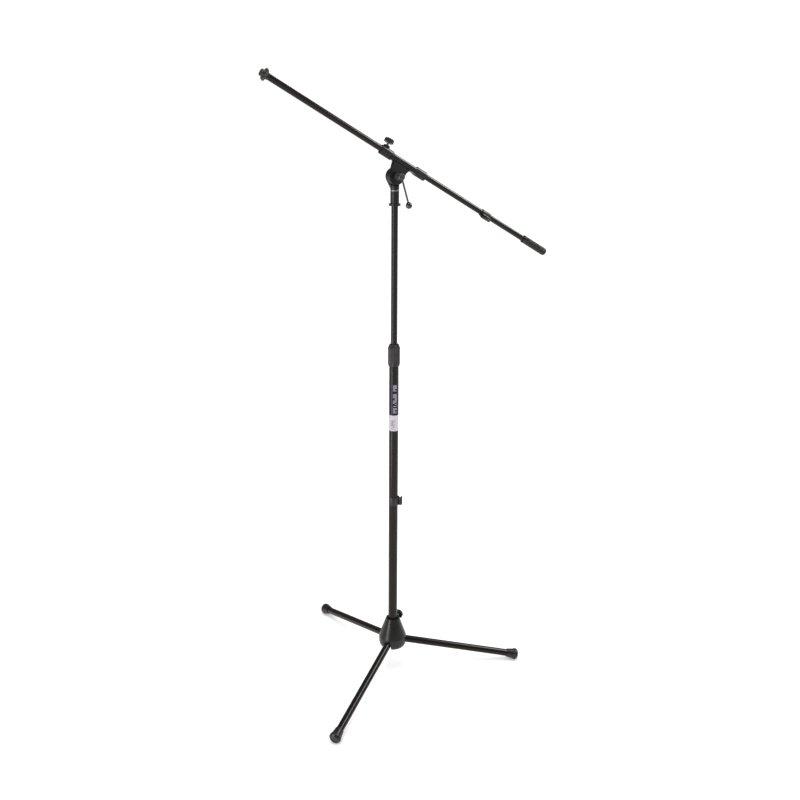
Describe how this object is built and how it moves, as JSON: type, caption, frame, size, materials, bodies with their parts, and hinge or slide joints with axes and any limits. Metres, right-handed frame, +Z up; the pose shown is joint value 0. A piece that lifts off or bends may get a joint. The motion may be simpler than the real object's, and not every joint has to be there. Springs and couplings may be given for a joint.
{
  "type": "boom microphone stand",
  "caption": "Folding tripod stand with a telescoping mast and a tilting, sliding boom arm that ends in a threaded stub for a microphone clip.",
  "frame": {"origin": "on the floor under the mast axis", "axes": "+Z up the mast, +X the way the boom microphone end points, +Y the side with the tilt clamp lever"},
  "size_m": [0.7806, 0.5751, 1.5401],
  "materials": {
    "tube_black": "gloss black powder coat on steel tube",
    "bell_plastic": "satin moulded glass-filled nylon",
    "casting_black": "satin black powder coat on die-cast zinc",
    "knob_plastic": "matt moulded ABS",
    "grip_rubber": "moulded rubber",
    "foot_rubber": "moulded rubber",
    "ball_plastic": "gloss phenolic ball",
    "plated_steel": "zinc-plated steel",
    "chromed_ring": "nickel-chrome plated brass",
    "black_steel": "black oxide on steel",
    "liner_nylon": "natural-black nylon",
    "white_acetal": "acetal",
    "label_vinyl": "dark purple printed vinyl",
    "tag_vinyl": "white printed label"
  },
  "bodies": {
    "base": {"hub_bell": "bell_plastic", "leg_pin_1": "plated_steel", "leg_pin_2": "plated_steel", "leg_pin_3": "plated_steel"},
    "hub_screw": {"hub_screw_shank": "plated_steel", "hub_screw_knob": "knob_plastic"},
    "mast_liner": {"hub_liner": "liner_nylon"},
    "lower_mast": {"lower_tube": "tube_black", "tube_end_plug": "liner_nylon", "label_band": "label_vinyl", "tag_band": "tag_vinyl", "clutch_body": "black_steel", "clutch_collet": "white_acetal"},
    "clutch_grip": {"clutch_sleeve": "knob_plastic"},
    "mast_clip": {"mast_cable_clip": "knob_plastic"},
    "telescope": {"guide_bush": "white_acetal"},
    "upper_mast": {"upper_tube": "tube_black", "mast_thread_insert": "plated_steel", "head_sleeve": "casting_black", "plated_ring": "chromed_ring", "swivel_socket": "casting_black", "friction_disc": "liner_nylon", "tilt_bolt": "plated_steel"},
    "clamp_lever": {"lever_washer": "plated_steel", "lever_hub": "black_steel", "lever_rod": "black_steel", "lever_ball": "ball_plastic"},
    "saddle": {"boom_saddle": "casting_black"},
    "boom_screw": {"boom_screw_shank": "plated_steel", "boom_screw_knob": "knob_plastic"},
    "boom_liner": {"saddle_bush_front": "liner_nylon", "saddle_bush_rear": "liner_nylon"},
    "boom": {"boom_tube": "tube_black", "boom_thread_insert": "black_steel", "boom_grip": "grip_rubber"},
    "lock_nut": {"mic_lock_nut": "black_steel"},
    "boom_clip": {"boom_cable_clip": "knob_plastic"},
    "leg_1": {"leg_knuckle_1": "casting_black", "leg_tube_1": "tube_black", "leg_foot_1": "foot_rubber"},
    "leg_2": {"leg_knuckle_2": "casting_black", "leg_tube_2": "tube_black", "leg_foot_2": "foot_rubber"},
    "leg_3": {"leg_knuckle_3": "casting_black", "leg_tube_3": "tube_black", "leg_foot_3": "foot_rubber"}
  },
  "joints": [
    {"name": "leg_1_fold", "type": "hinge", "parent": "base", "child": "leg_1", "pos_m": [0.0218, 0.01663, 0.0872], "axis": [-0.6065, 0.7951, 0], "range_deg": [0, 75]},
    {"name": "leg_2_fold", "type": "hinge", "parent": "base", "child": "leg_2", "pos_m": [-0.0253, 0.01056, 0.0872], "axis": [-0.3853, -0.9228, 0], "range_deg": [0, 75]},
    {"name": "leg_3_fold", "type": "hinge", "parent": "base", "child": "leg_3", "pos_m": [0.0035, -0.0272, 0.0872], "axis": [0.9918, 0.1278, 0], "range_deg": [0, 75]},
    {"name": "hub_screw_turn", "type": "hinge", "parent": "base", "child": "hub_screw", "pos_m": [0, 0, 0.142], "axis": [-0.7951, -0.6065, 0], "range_deg": [0, 720]},
    {"name": "mast_liner_turn", "type": "hinge", "parent": "base", "child": "mast_liner", "pos_m": [0, 0, 0.1], "axis": [0, 0, 1], "continuous": true},
    {"name": "mast_in_hub_slide", "type": "slide", "parent": "mast_liner", "child": "lower_mast", "axis": [0, 0, 1], "range_m": [-0.3, 0]},
    {"name": "clutch_turn", "type": "hinge", "parent": "lower_mast", "child": "clutch_grip", "pos_m": [0, 0, 0.887], "axis": [0, 0, 1], "range_deg": [0, 180]},
    {"name": "mast_clip_slide", "type": "slide", "parent": "lower_mast", "child": "mast_clip", "axis": [0, 0, -1], "range_m": [-0.17, 0.3]},
    {"name": "telescope_slide", "type": "slide", "parent": "lower_mast", "child": "telescope", "axis": [0, 0, 1], "range_m": [-0.32, 0.245]},
    {"name": "upper_mast_turn", "type": "hinge", "parent": "telescope", "child": "upper_mast", "pos_m": [0, 0, 0.9], "axis": [0, 0, 1], "continuous": true},
    {"name": "boom_tilt", "type": "hinge", "parent": "upper_mast", "child": "saddle", "pos_m": [0, 0, 1.315], "axis": [0, -1, 0], "range_deg": [-108, 56]},
    {"name": "clamp_lever_turn", "type": "hinge", "parent": "upper_mast", "child": "clamp_lever", "pos_m": [0, 0, 1.315], "axis": [0, 1, 0], "range_deg": [-110, 110]},
    {"name": "boom_roll", "type": "hinge", "parent": "saddle", "child": "boom_liner", "pos_m": [-0.01784, 0, 1.34799], "axis": [0.8796, 0, 0.4756], "continuous": true},
    {"name": "boom_slide", "type": "slide", "parent": "boom_liner", "child": "boom", "axis": [0.8796, 0, 0.4756], "range_m": [-0.3, 0.18]},
    {"name": "boom_screw_turn", "type": "hinge", "parent": "saddle", "child": "boom_screw", "pos_m": [0.02703, 0, 1.37224], "axis": [-0.4756, 0, 0.8796], "range_deg": [0, 720]},
    {"name": "lock_nut_turn", "type": "hinge", "parent": "boom", "child": "lock_nut", "pos_m": [0.30939, 0, 1.52492], "axis": [0.8796, 0, 0.4756], "continuous": true},
    {"name": "boom_clip_slide", "type": "slide", "parent": "boom", "child": "boom_clip", "axis": [-0.8796, 0, -0.4756], "range_m": [-0.18, 0.12]}
  ]
}
